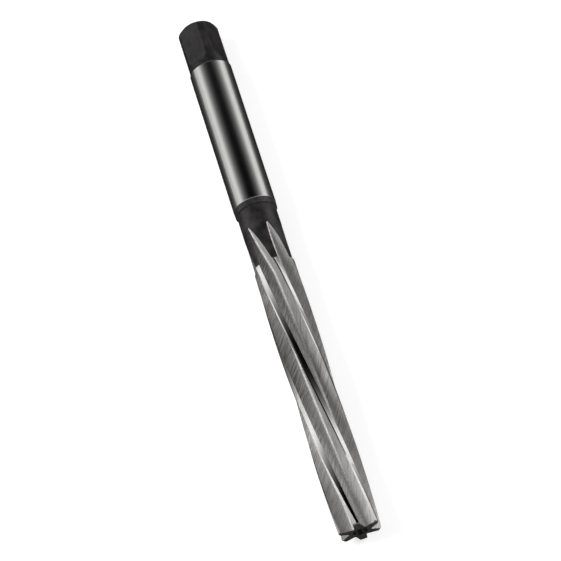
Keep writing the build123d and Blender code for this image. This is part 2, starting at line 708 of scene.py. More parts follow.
@dataclass
class DrivenShank:
    """The driving square, the ground shank and the black band that ends it.

    Attributes:
        sizes: The tool's sizes.
        flat_columns: Faces across a flat.
        corner_columns: Faces across the rounded corner beside it.
        narrowest: Least half width of the flat's columns, in degrees.
        face_rings: Places of the rings across the end face, as shares of the way out.
        chamfer_rows: Rows on the chamfer.
        flat_rows: Rows along the flats, before they run out.
        runout_rows: Rows along their run-out.
        spread: Place and evenness of the rows between the flats and the shank.
        shank_rows: Rows along the ground shank.
    """

    sizes: ReamerSizes
    flat_columns: int = 24
    corner_columns: int = 12
    narrowest: float = 6.0
    face_rings: tuple[float, ...] = (0.5, 1.0)
    chamfer_rows: int = 6
    flat_rows: int = 6
    runout_rows: int = 12
    spread: tuple[tuple[float, float], ...] = ((11.25, 0.3), (11.5, 0.65), (11.8, 1.0))
    shank_rows: int = 24

    @property
    def columns(self) -> int:
        """The faces across one quarter."""
        return self.flat_columns + self.corner_columns

    def flat_height(self, z: float) -> float:
        """Measures from the axis to a flat.

        Args:
            z: Distance from the driving end.

        Returns:
            The distance, or FAR where there is no flat.
        """
        s = self.sizes
        if z <= s.flat_full_end:
            return s.flat_distance
        if z >= s.square_length:
            return FAR
        along = z - s.flat_full_end
        reach = math.sqrt(s.flat_cutter_radius**2 - along**2)
        return s.flat_distance + s.flat_cutter_radius - reach

    def row(self, z: float, radius: float, finish: Finish, evenness: float = 0.0) -> Row:
        """Makes one ring, with the flat in the middle of its first columns.

        Args:
            z: Distance from the driving end.
            radius: Radius of the turned surface there.
            finish: Finish of the faces up to the next ring.
            evenness: 1 where the points are spread evenly, 0 where they follow the shape.

        Returns:
            The row of points.
        """
        flat = self.flat_height(z)
        half = math.acos(min(1.0, flat / radius)) if radius else 0.0
        half = max(half, math.radians(self.narrowest))
        rolls = between(-half, half, self.flat_columns)
        radii = [min(radius, flat / math.cos(roll)) for roll in rolls]
        rolls += between(half, math.radians(QUARTER_TURN) - half, self.corner_columns)[1:]
        radii += [radius] * self.corner_columns
        radii[-1] = radii[0]
        return Row(z, rolls, radii, [0.0] * len(rolls), evenness, [finish] * self.columns)

    def end_rows(self) -> list[Row]:
        """Makes the rings of the centre hole and the end face.

        Returns:
            The rows, from the drill's point to the start of the chamfer.
        """
        s = self.sizes
        black = Finish.BLACK_SQUARE
        mouth = self.row(0.0, s.countersink_radius, black)
        rows = []
        for depth, radius in reversed(CentreHole(s).steps()):
            radii = [radius] * len(mouth.rolls)
            rows.append(mouth.inner(depth, radii, Finish.CENTRE_HOLE_PAINTED_SHADE))
        across = s.tang_radius - s.tang_chamfer - s.countersink_radius
        face = [s.countersink_radius + across * share for share in self.face_rings]
        return rows + [mouth] + [self.row(0.0, radius, black) for radius in face]

    def square_rows(self) -> list[Row]:
        """Makes the rings of the chamfer and the driving square.

        Returns:
            The rows, from the first one on the chamfer to the start of the shank.
        """
        s = self.sizes
        black = Finish.BLACK_SQUARE
        face = s.tang_radius - s.tang_chamfer
        chamfer = between(s.flat_distance - face, s.tang_chamfer, self.chamfer_rows)
        rows = [self.row(z, face + z, black) for z in chamfer]
        flats = between(s.tang_chamfer, s.flat_full_end, self.flat_rows)[1:]
        flats += between(s.flat_full_end, s.square_length, self.runout_rows)[1:]
        rows += [self.row(z, s.tang_radius, black) for z in flats]
        rows += [self.row(z, s.tang_radius, black, evenness) for z, evenness in self.spread]
        return rows

    def rows(self, end: float) -> list[Row]:
        """Makes all the rings of the driven half.

        Args:
            end: Where the last ring lies, on the neck.

        Returns:
            The rows, from the bottom of the centre hole to the neck.
        """
        s = self.sizes
        bright, skin = Finish.GROUND_SHANK, Finish.BLACK_SKIN
        ground_start = s.tang_length + s.shank_start_bevel
        ground_end = s.shank_end - s.band_length - (s.shank_radius - s.band_radius)
        ground = between(ground_start, ground_end, self.shank_rows)
        turned = [(s.tang_length, s.tang_radius, bright)]
        turned += [(z, s.shank_radius, bright) for z in ground]
        turned += [
            (s.shank_end - s.band_length, s.band_radius, skin),
            (s.shank_end, s.band_radius - s.band_taper, Finish.SHOULDER_PAINTED_LIGHT),
            (s.shank_end, s.neck_radius, skin),
            (end, s.neck_radius, skin),
        ]
        return self.end_rows() + self.square_rows() + [self.row(*ring, 1.0) for ring in turned]


# Node trees


class Tree:
    """Adds nodes to a node tree and joins them."""

    def __init__(self, tree: bpy.types.NodeTree) -> None:
        """Keeps the tree that is being built."""
        self.tree = tree

    def socket(self, name: str, kind: str, output: bool = False, value: object = None) -> None:
        """Adds a named input or output to the tree's interface.

        Args:
            name: The socket's name.
            kind: The socket's type.
            output: Whether it is an output.
            value: What an input holds when nothing is joined to it.
        """
        side = "OUTPUT" if output else "INPUT"
        made = self.tree.interface.new_socket(name, in_out=side, socket_type=kind)
        if value is not None:
            made.default_value = value

    def node(self, kind: str, inputs: Inputs | None = None, **settings: object) -> bpy.types.Node:
        """Adds a node.

        Args:
            kind: The node's type.
            inputs: What goes into each input, by name or number: a socket or a plain value.
            **settings: The node's own properties.

        Returns:
            The node.
        """
        made = self.tree.nodes.new(kind)
        for name, value in settings.items():
            setattr(made, name, value)
        for name, value in (inputs or {}).items():
            self.put(made.inputs[name], value)
        return made

    def put(self, target: Socket, value: object) -> None:
        """Fills an input.

        Args:
            target: The input.
            value: The socket to join to it, or a plain value to write on it.
        """
        if isinstance(value, Socket):
            self.tree.links.new(value, target)
        else:
            target.default_value = value

    def math(self, operation: str, *values: object, clamp: bool = False) -> Socket:
        """The result of one Math node."""
        inputs = dict(enumerate(values))
        return self.node("ShaderNodeMath", inputs, operation=operation, use_clamp=clamp).outputs[0]

    def total(self, *values: object, clamp: bool = False) -> Socket:
        """Adds up values, one Math node after another.

        Args:
            *values: What is added, in this order.
            clamp: Whether the sum is held between 0 and 1.

        Returns:
            The sum.
        """
        result, *middle, last = values
        for value in middle:
            result = self.math("ADD", result, value)
        return self.math("ADD", result, last, clamp=clamp)

    def times(self, value: object, factor: object) -> Socket:
        """A value times another."""
        return self.math("MULTIPLY", value, factor)

    def less(self, value: object, taken: object) -> Socket:
        """A value less another."""
        return self.math("SUBTRACT", value, taken)

    def vector(self, x: object, y: object, z: object) -> Socket:
        """Three values as one vector."""
        return self.node("ShaderNodeCombineXYZ", {0: x, 1: y, 2: z}).outputs[0]

    def parts(self, vector: Socket) -> Sockets:
        """The three values of a vector."""
        return self.node("ShaderNodeSeparateXYZ", {0: vector}).outputs

    # A Mix node's two values are its inputs 2 and 3, and its two colours its inputs 6 and 7

    def mix(self, share: object, low: object, high: object) -> Socket:
        """A value between two others."""
        return self.node("ShaderNodeMix", {0: share, 2: low, 3: high}, data_type="FLOAT").outputs[0]

    def blend(self, share: object, low: object, high: object) -> Socket:
        """A colour between two others."""
        return self.node("ShaderNodeMix", {0: share, 6: low, 7: high}, data_type="RGBA").outputs[2]

    def graded(self, value: object, limits: Range, first: float, last: float) -> Socket:
        """Turns a value into another that runs evenly from the first to the last.

        Args:
            value: The value that is read.
            limits: Where on it the run starts and ends.
            first: What comes out at and before the start.
            last: What comes out at and past the end.

        Returns:
            The new value.
        """
        inputs = {"Value": value, "From Min": limits[0], "From Max": limits[1]}
        inputs |= {"To Min": first, "To Max": last}
        return self.node("ShaderNodeMapRange", inputs).outputs[0]

    def shaped(self, kind: str, geometry: Socket, inputs: Inputs, **settings: object) -> Socket:
        """The geometry that a node makes out of another."""
        return self.node(kind, {"Geometry": geometry} | inputs, **settings).outputs[0]

    def named(self, name: str, kind: str = "FLOAT") -> Socket:
        """A value that the mesh carries under a name."""
        return self.node("GeometryNodeInputNamedAttribute", {0: name}, data_type=kind).outputs[0]


class Winding:
    """Repeats a strip round the axis with uneven gaps and winds it into a helix.

    Attributes:
        LEFT_BEHIND: The values on the mesh that the tree reads or makes.
        SIZES: The numbers that the tree takes in, apart from the count.
        tree: The node tree.
    """

    LEFT_BEHIND: Sequence[str] = ("finish", "roll", "radius", "stretch", "even_roll", "evenness",
                                  "crisp", "start", "gap", "place")
    SIZES: Sequence[str] = ("Gap 1", "Gap 2", "Gap 3", "Drawn gap", "First roll",
                            "Turn per metre", "Wound from", "Tool length", "Axis height")

    def __init__(self, finishes: Materials) -> None:
        """Builds the node tree.

        Args:
            finishes: The material of each finish.
        """
        t = Tree(bpy.data.node_groups.new("Repeat round the axis and wind", "GeometryNodeTree"))
        t.socket("Geometry", "NodeSocketGeometry")
        t.socket("Count", "NodeSocketInt", value=2 * GAPS_IN_SERIES)
        for name in self.SIZES:
            t.socket(name, "NodeSocketFloat", value=0.0)
        t.socket("Geometry", "NodeSocketGeometry", output=True)
        given = t.node("NodeGroupInput").outputs
        geometry = self.repeat(t, given)
        place = self.place(t, given)
        geometry = t.shaped("GeometryNodeSetPosition", geometry, {"Position": place})
        geometry = t.shaped("GeometryNodeMergeByDistance", geometry, {"Distance": SAME_POINT})
        geometry = t.shaped("GeometryNodeRealizeInstances", geometry, {})
        for finish, material in finishes.items():
            here = {2: t.named("finish", "INT"), 3: int(finish)}
            chosen = t.node("FunctionNodeCompare", here, data_type="INT", operation="EQUAL")
            dressing = {"Selection": chosen.outputs[0], "Material": material}
            geometry = t.shaped("GeometryNodeSetMaterial", geometry, dressing)
        t.node("NodeGroupOutput", {"Geometry": geometry})
        self.tree = t.tree

    @staticmethod
    def repeat(t: Tree, given: Sockets) -> Socket:
        """Makes the copies of the strip, each with the start and width of its own gap.

        Args:
            t: The tree that is being built.
            given: The tree's inputs.

        Returns:
            The copies, still on top of each other.
        """
        points = t.node("GeometryNodePoints", {"Count": given["Count"]}).outputs[0]
        copied = {"Points": points, "Instance": given["Geometry"]}
        geometry = t.node("GeometryNodeInstanceOnPoints", copied).outputs[0]
        index = t.node("GeometryNodeInputIndex").outputs[0]
        series = t.math("FLOOR", t.math("DIVIDE", t.math("ADD", index, 0.5), float(GAPS_IN_SERIES)))
        in_series = t.less(index, t.times(series, float(GAPS_IN_SERIES)))
        is_second = t.math("COMPARE", in_series, 1.0, SAME_NUMBER)
        is_third = t.math("COMPARE", in_series, 2.0, SAME_NUMBER)
        two = t.total(given["Gap 1"], given["Gap 2"])
        start = t.times(series, t.total(two, given["Gap 3"]))
        start = t.total(start, t.times(is_second, given["Gap 1"]), t.times(is_third, two))
        gap = t.mix(is_second, t.mix(is_third, given["Gap 1"], given["Gap 3"]), given["Gap 2"])
        kept = {"data_type": "FLOAT", "domain": "INSTANCE"}
        for name, value in (("start", start), ("gap", gap), ("place", index)):
            named = {"Name": name, "Value": value}
            geometry = t.shaped("GeometryNodeStoreNamedAttribute", geometry, named, **kept)
        return t.shaped("GeometryNodeRealizeInstances", geometry, {})

    @staticmethod
    def place(t: Tree, given: Sockets) -> Socket:
        """Works out where each point goes, from its roll, its radius and its place along the strip.

        Args:
            t: The tree that is being built.
            given: The tree's inputs.

        Returns:
            The position.
        """
        flat = t.parts(t.node("GeometryNodeInputPosition").outputs[0])
        wound = t.math("MAXIMUM", t.less(flat[0], given["Wound from"]), 0.0)
        wound = t.times(wound, given["Turn per metre"])
        stretched = t.times(t.named("stretch"), t.less(t.named("gap"), given["Drawn gap"]))
        roll = t.total(t.named("roll"), stretched, t.named("start"))
        roll = t.total(roll, t.total(given["First roll"], wound))
        even = t.total(t.named("even_roll"), given["First roll"])
        even = t.total(even, t.times(t.named("place"), given["Drawn gap"]))
        roll = t.mix(t.named("evenness"), roll, even)
        radius = t.named("radius")
        along = t.less(flat[0], t.times(given["Tool length"], 0.5))
        aside = t.times(radius, t.math("SINE", roll))
        above = t.total(t.times(radius, t.math("COSINE", roll)), given["Axis height"])
        return t.vector(along, aside, above)

    def wind(self, piece: bpy.types.Object, values: dict[str, float]) -> bpy.types.Mesh:
        """Runs the tree on a strip and removes the strip.

        Args:
            piece: The strip.
            values: The tree's inputs by name.

        Returns:
            The plain mesh that comes out.
        """
        modifier = piece.modifiers.new("wind", "NODES")
        modifier.node_group = self.tree
        for item in self.tree.interface.items_tree:
            if item.in_out == "INPUT" and item.name in values:
                modifier[item.identifier] = values[item.name]
        bpy.context.view_layer.update()
        graph = bpy.context.evaluated_depsgraph_get()
        mesh = bpy.data.meshes.new_from_object(
            piece.evaluated_get(graph), preserve_all_data_layers=True, depsgraph=graph
        )
        piece.modifiers.remove(modifier)
        bpy.data.objects.remove(piece)
        return mesh


@dataclass
class Reamer:
    """The whole tool as one closed mesh.

    Attributes:
        sizes: The tool's sizes.
        seam_gap: Distance of the seam between the halves from the shoulder.
        sharp_angle: Angle in degrees over which an edge stays sharp.
        crisp_angle: The same for the line behind each margin.
        rubbed_angle: Angle over which an edge's skin is rubbed.
    """

    sizes: ReamerSizes
    seam_gap: float = 0.7
    sharp_angle: float = 22.0
    crisp_angle: float = 2.0
    rubbed_angle: float = 20.0

    def build(self, finishes: Materials) -> bpy.types.Object:
        """Makes the fluted half and the driven half, winds them and closes them into one piece.

        Args:
            finishes: The material of each finish.

        Returns:
            The tool, at the origin, with its place in its mesh.
        """
        s = self.sizes
        body, shank, winding = FlutedBody(s), DrivenShank(s), Winding(finishes)
        seam = s.shank_end + self.seam_gap
        step = QUARTER_TURN / shank.columns
        quarter_start = -shank.flat_columns * step / 2
        flute_start = self.fluted_start(body, quarter_start, step)
        fluted = Strip("fluted_strip", body.rows(seam), step, flute_start)
        driven = Strip("driven_strip", shank.rows(seam), step, quarter_start)
        flutes = self.turns(s.tooth_gaps, body.drawn_gap, s.first_flute_roll)
        quarters = self.turns((QUARTER_TURN,) * GAPS_IN_SERIES, QUARTER_TURN, s.square_roll)
        halves = [winding.wind(fluted.lay_out(), flutes), winding.wind(driven.lay_out(), quarters)]
        tool = self.join("reamer_body", halves)
        self.close(tool)
        return tool

    def fluted_start(self, body: FlutedBody, quarter_start: float, step: float) -> float:
        """Finds where the fluted half's evenly spread points start, so that they meet the shank's.

        Args:
            body: The fluted half.
            quarter_start: Where those of the shank start, in degrees.
            step: The angle between two of them, in degrees.

        Returns:
            The first point's roll from the strip's middle, in degrees.
        """
        s = self.sizes
        tip_roll = math.degrees(FluteSection(s, body.runout_tip()).root_roll)
        wanted = tip_roll - body.flute_columns * step / 2
        return wanted - (s.first_flute_roll + wanted - s.square_roll - quarter_start) % step

    def turns(self, gaps: Sequence[float], drawn: float, first: float) -> dict[str, float]:
        """Lists the winding tree's values for strips that go once round the axis.

        Args:
            gaps: The series of gaps between strips, in degrees.
            drawn: The gap at which the strip is drawn.
            first: Roll of the first strip.

        Returns:
            The values by name.
        """
        s = self.sizes
        values = {f"Gap {i + 1}": math.radians(gap) for i, gap in enumerate(gaps)}
        return values | {
            "Count": round(4 * QUARTER_TURN / drawn),
            "Drawn gap": math.radians(drawn),
            "First roll": math.radians(first),
            "Turn per metre": s.turn_per_mm / MM,
            "Wound from": s.full_depth_start * MM,
            "Tool length": s.length * MM,
            "Axis height": s.cutting_radius * MM,
        }

    @staticmethod
    def join(name: str, meshes: Iterable[bpy.types.Mesh]) -> bpy.types.Object:
        """Puts meshes together in one object, with their materials and values kept.

        Args:
            name: The object's name.
            meshes: What goes into it.

        Returns:
            The object, linked to the scene.
        """
        pieces = [bpy.data.objects.new(name, mesh) for mesh in meshes]
        for piece in pieces:
            bpy.context.scene.collection.objects.link(piece)
        with bpy.context.temp_override(active_object=pieces[0], selected_editable_objects=pieces):
            bpy.ops.object.join()
        return pieces[0]

    def close(self, tool: bpy.types.Object) -> None:
        """Joins the seam, turns the faces outwards and marks the sharp and the rubbed edges.

        Args:
            tool: The joined halves.
        """
        mesh = tool.data
        shape = bmesh.new()
        shape.from_mesh(mesh)
        bmesh.ops.remove_doubles(shape, verts=shape.verts, dist=SAME_POINT)
        bmesh.ops.dissolve_degenerate(shape, edges=shape.edges, dist=NO_LENGTH)
        bmesh.ops.recalc_face_normals(shape, faces=shape.faces)
        crisp = shape.verts.layers.float["crisp"]
        rubbed = shape.verts.layers.float.new("rubbed")
        for face in shape.faces:
            face.smooth = True
        for edge in shape.edges:
            angle = math.degrees(edge.calc_face_angle(0.0))
            on_line = min(vert[crisp] for vert in edge.verts) > 0.5
            edge.smooth = angle <= (self.crisp_angle if on_line else self.sharp_angle)
            if angle > self.rubbed_angle:
                for vert in edge.verts:
                    vert[rubbed] = 1.0
        loose = sum(1 for edge in shape.edges if not edge.is_manifold)
        log.info("%s: %d open edges, %.0f mm3", tool.name, loose, shape.calc_volume() / MM**3)
        shape.to_mesh(mesh)
        shape.free()
        for name in Winding.LEFT_BEHIND:
            if name in mesh.attributes:
                mesh.attributes.remove(mesh.attributes[name])


# Finishes


def grey(value: float, warm: float = 0.0) -> Colour:
    """A grey, a little warm or not."""
    return (value + warm, value, value - warm, 1.0)


@dataclass
class ShaderGroups:
    """The effects that several finishes share, each built once.

    Attributes:
        line_detail: Detail of the noise that draws the wheel's lines.
        line_roughness: Its roughness.
        line_depth: How quickly the lines change with the distance from the axis, for each metre.
        patch_detail: Detail of the patches.
        patch_roughness: Their roughness.
        speck_scale: How much finer the specks are than the patches.
        speck_detail: Detail of the specks.
        speck_floor: Noise below which there is no speck.
        speck_gain: How sharply a speck stands out.
        marks: The group that draws the wheel's lines.
        mottle: The group that draws patches and specks.
    """

    line_detail: float = 3.0
    line_roughness: float = 0.6
    line_depth: float = 400.0
    patch_detail: float = 4.0
    patch_roughness: float = 0.55
    speck_scale: float = 14.0
    speck_detail: float = 2.0
    speck_floor: float = 0.56
    speck_gain: float = 6.0
    marks: bpy.types.NodeTree = field(init=False)
    mottle: bpy.types.NodeTree = field(init=False)

    def __post_init__(self) -> None:
        """Builds every group."""
        self.marks = self.wheel_marks()
        self.mottle = self.mottling()

    @staticmethod
    def start(name: str, inputs: Sequence[str], outputs: Sequence[str]) -> Tree:
        """Starts a group that reads a position and some numbers and puts out numbers.

        Args:
            name: The group's name.
            inputs: The names of the numbers that it reads.
            outputs: The names of the numbers that it puts out.

        Returns:
            The tree, with its interface.
        """
        t = Tree(bpy.data.node_groups.new(name, "ShaderNodeTree"))
        t.socket("Position", "NodeSocketVector")
        for label in inputs:
            t.socket(label, "NodeSocketFloat")
        for label in outputs:
            t.socket(label, "NodeSocketFloat", output=True)
        return t

    @staticmethod
    def contrasted(t: Tree, noise: Socket, contrast: Socket) -> Socket:
        """A noise spread further from its middle, held between 0 and 1."""
        return t.total(t.times(t.less(noise, 0.5), contrast), 0.5, clamp=True)

    def wheel_marks(self) -> bpy.types.NodeTree:
        """Builds the fine lines that a wheel leaves, round the axis or slanting across a flute.

        Returns:
            The group, which also puts out the distance from the axis.
        """
        numbers = ("Axis height", "Lines per metre", "Slant", "Breaks", "Contrast")
        t = self.start("Wheel marks", numbers, ("Marks", "Radius"))
        given = t.node("NodeGroupInput").outputs
        place = t.parts(given["Position"])
        up = t.less(place[2], given["Axis height"])
        radius = t.math("SQRT", t.total(t.times(place[1], place[1]), t.times(up, up)))
        roll = t.math("ARCTAN2", place[1], up)
        along = t.total(place[0], t.times(radius, given["Slant"]))
        where = t.vector(
            t.times(along, given["Lines per metre"]),
            t.times(roll, given["Breaks"]),
            t.times(radius, self.line_depth),
        )
        lines = {"Vector": where, "Scale": 1.0,
                 "Detail": self.line_detail, "Roughness": self.line_roughness}
        noise = t.node("ShaderNodeTexNoise", lines).outputs[0]
        marks = self.contrasted(t, noise, given["Contrast"])
        t.node("NodeGroupOutput", {"Marks": marks, "Radius": radius})
        return t.tree

    def mottling(self) -> bpy.types.NodeTree:
        """Builds soft patches of handling, oil and uneven skin, and fine specks.

        Returns:
            The group.
        """
        t = self.start("Mottling", ("Patches per metre", "Contrast"), ("Patches", "Specks"))
        given = t.node("NodeGroupInput").outputs
        soft = {"Vector": given["Position"], "Scale": given["Patches per metre"],
                "Detail": self.patch_detail, "Roughness": self.patch_roughness}
        noise = t.node("ShaderNodeTexNoise", soft).outputs[0]
        finer = t.times(given["Patches per metre"], self.speck_scale)
        fine = {"Vector": given["Position"], "Scale": finer, "Detail": self.speck_detail}
        grain = t.node("ShaderNodeTexNoise", fine).outputs[0]
        above = t.less(grain, self.speck_floor)
        specks = t.math("MULTIPLY", above, self.speck_gain, clamp=True)
        patches = self.contrasted(t, noise, given["Contrast"])
        t.node("NodeGroupOutput", {"Patches": patches, "Specks": specks})
        return t.tree


class Surface:
    """A material that is being built, with the piece's own coordinates and the shared effects."""

    def __init__(self, name: str, groups: ShaderGroups, height: float) -> None:
        """Starts the material.

        Args:
            name: The material's name.
            groups: The shared effects.
            height: Height of the tool's axis, in metres.
        """
        self.material = bpy.data.materials.new(name)
        self.material.use_nodes = True
        self.t = Tree(self.material.node_tree)
        self.place = self.t.node("ShaderNodeTexCoord").outputs["Object"]
        self.groups = groups
        self.height = height

    def marks(self, lines: float, slant: float, breaks: float, contrast: float) -> Sockets:
        """Places the wheel's lines.

        Args:
            lines: Lines in each metre.
            slant: How far they lean along the tool for each unit of depth.
            breaks: How often a line breaks off round the axis.
            contrast: How strongly they stand out.

        Returns:
            The group's outputs.
        """
        values = {"Position": self.place, "Axis height": self.height, "Lines per metre": lines,
                  "Slant": slant, "Breaks": breaks, "Contrast": contrast}
        return self.t.node("ShaderNodeGroup", values, node_tree=self.groups.marks).outputs

    def mottle(self, patches: float, contrast: float) -> Sockets:
        """Places the patches and specks.

        Args:
            patches: Patches in each metre.
            contrast: How strongly they stand out.

        Returns:
            The group's outputs.
        """
        values = {"Position": self.place, "Patches per metre": patches, "Contrast": contrast}
        return self.t.node("ShaderNodeGroup", values, node_tree=self.groups.mottle).outputs

    def finish(
        self, colour: Socket, roughness: Socket, metallic: float, relief: Socket, depth: float
    ) -> None:
        """Joins everything to the material's shader.

        Args:
            colour: The base colour.
            roughness: The roughness.
            metallic: Share of mirror-like steel.
            relief: What stands up from the surface, from 0 to 1.
            depth: How far it stands up, in metres.
        """
        bump = self.t.node("ShaderNodeBump", {"Strength": 1.0, "Distance": depth, "Height": relief})
        shader = self.t.tree.nodes["Principled BSDF"].inputs
        self.t.put(shader["Base Color"], colour)
        self.t.put(shader["Roughness"], roughness)
        self.t.put(shader["Normal"], bump.outputs[0])
        shader["Metallic"].default_value = metallic


@dataclass(frozen=True)
class GroundSteel:
    """Steel as a grinding wheel leaves it, with painted light and shade where those are set.

    Attributes:
        name: The material's name.
        colour: Where the marks are bright.
        shade: Where they are dull.
        roughness: Lowest and highest roughness.
        metallic: Share of mirror-like steel; the rest is broken up by the marks.
        lines: Marks in each metre.
        depth: Height of the marks in metres.
        slant: How far the marks lean along the tool for each unit of depth.
        breaks: How often a mark breaks off round the axis.
        patches: Patches in each metre.
        neck_painted_grey: Painted light and shade, a grey that the steel turns to near the neck.
        neck_paint_share: How far it turns to that grey.
        root_painted_light: Painted reflection, how much lighter it is at the root of a flute than at
            its edge.
        tip_painted_light: Painted light, how much lighter it is near the tip.
        contrast: How strongly the marks stand out.
        patch_contrast: How strongly the patches stand out.
        mark_share: What the marks add to the tone.
        patch_share: What the patches add to it.
        speck_share: What the specks add to it.
        root_paint_span: Distances from the axis between which that painted reflection fades, in
            metres.
        neck_paint_span: Places along the tool between which the neck's painted grey fades.
        tip_paint_span: Places along the tool between which that painted light comes in.
    """

    name: str
    colour: Colour
    shade: Colour
    roughness: Range
    metallic: float
    lines: float
    depth: float
    slant: float = 0.0
    breaks: float = 5.0
    patches: float = 220.0
    neck_painted_grey: float = 0.0
    neck_paint_share: float = 0.0
    root_painted_light: float = 0.0
    tip_painted_light: float = 0.0
    contrast: float = 4.2
    patch_contrast: float = 2.0
    mark_share: float = 0.7
    patch_share: float = 0.2
    speck_share: float = 0.2
    root_paint_span: Range = (0.0026, 0.005)
    neck_paint_span: Range = (-0.006, 0.014)
    tip_paint_span: Range = (0.03, 0.054)

    def build(self, groups: ShaderGroups, height: float) -> bpy.types.Material:
        """Makes the material.

        Args:
            groups: The shared effects.
            height: Height of the tool's axis, in metres.

        Returns:
            The material.
        """
        surface = Surface(self.name, groups, height)
        t = surface.t
        lines = surface.marks(self.lines, self.slant, self.breaks, self.contrast)
        marks, radius = lines["Marks"], lines["Radius"]
        mottle = surface.mottle(self.patches, self.patch_contrast)
        patches, specks = mottle["Patches"], mottle["Specks"]
        along = t.parts(surface.place)[0]
        tones = [
            t.times(marks, self.mark_share),
            t.times(patches, self.patch_share),
            t.times(specks, self.speck_share),
        ]
        # Painted reflection: lighter towards the root of a flute
        if self.root_painted_light:
            tones.append(t.graded(radius, self.root_paint_span, self.root_painted_light, -self.root_painted_light))
        # Painted light: lighter towards the tip
        if self.tip_painted_light:
            tones.append(t.graded(along, self.tip_paint_span, 0.0, self.tip_painted_light))
        colour = t.blend(t.total(*tones, clamp=True), self.shade, self.colour)
        # Painted light and shade near the neck: the colour turns towards a set grey there
        if self.neck_paint_share:
            paint_at_neck = t.graded(along, self.neck_paint_span, self.neck_paint_share, 0.0)
            colour = t.blend(paint_at_neck, colour, grey(self.neck_painted_grey))
        smooth = t.total(t.times(marks, 0.5), t.times(patches, 0.5))
        lowest, highest = self.roughness
        surface.finish(colour, t.mix(smooth, highest, lowest), self.metallic, marks, self.depth)
        return surface.material


@dataclass(frozen=True)
class BlackSkin:
    """Steel with the thin black oxide that heat treatment leaves, rubbed through at its edges.

    Attributes:
        name: The material's name.
        colour: The skin between the patches.
        bloom: The skin in the patches.
        roughness: Roughness between the patches and in them.
        metallic: Share of mirror-like steel.
        depth: Height of the relief in metres.
        rubbed: Steel that shows where the skin is rubbed through.
        patches: Patches in each metre.
        patch_contrast: How strongly the patches stand out.
        lines: Turning marks in each metre.
        breaks: How often a mark breaks off round the axis.
        contrast: How strongly the marks stand out.
        rub_fall: How quickly the rubbing fades away from an edge.
        rub_share: How much of a speck at an edge is rubbed through.
        mark_share: What the marks add to the relief; the specks add the rest.
    """

    name: str
    colour: Colour
    bloom: Colour
    roughness: Range
    metallic: float
    depth: float = 6e-6
    rubbed: Colour = grey(0.2)
    patches: float = 420.0
    patch_contrast: float = 2.6
    lines: float = 2600.0
    breaks: float = 2.0
    contrast: float = 1.6
    rub_fall: float = 3.0
    rub_share: float = 0.6
    mark_share: float = 0.6

    def build(self, groups: ShaderGroups, height: float) -> bpy.types.Material:
        """Makes the material.

        Args:
            groups: The shared effects.
            height: Height of the tool's axis, in metres.

        Returns:
            The material.
        """
        surface = Surface(self.name, groups, height)
        t = surface.t
        mottle = surface.mottle(self.patches, self.patch_contrast)
        patches, specks = mottle["Patches"], mottle["Specks"]
        marks = surface.marks(self.lines, 0.0, self.breaks, self.contrast)["Marks"]
        edge = t.node("ShaderNodeAttribute", attribute_name="rubbed").outputs["Fac"]
        worn = t.times(t.math("POWER", edge, self.rub_fall), t.times(specks, self.rub_share))
        colour = t.blend(worn, t.blend(patches, self.colour, self.bloom), self.rubbed)
        relief = t.total(t.times(marks, self.mark_share), t.times(specks, 1 - self.mark_share))
        surface.finish(colour, t.mix(patches, *self.roughness), self.metallic, relief, self.depth)
        return surface.material


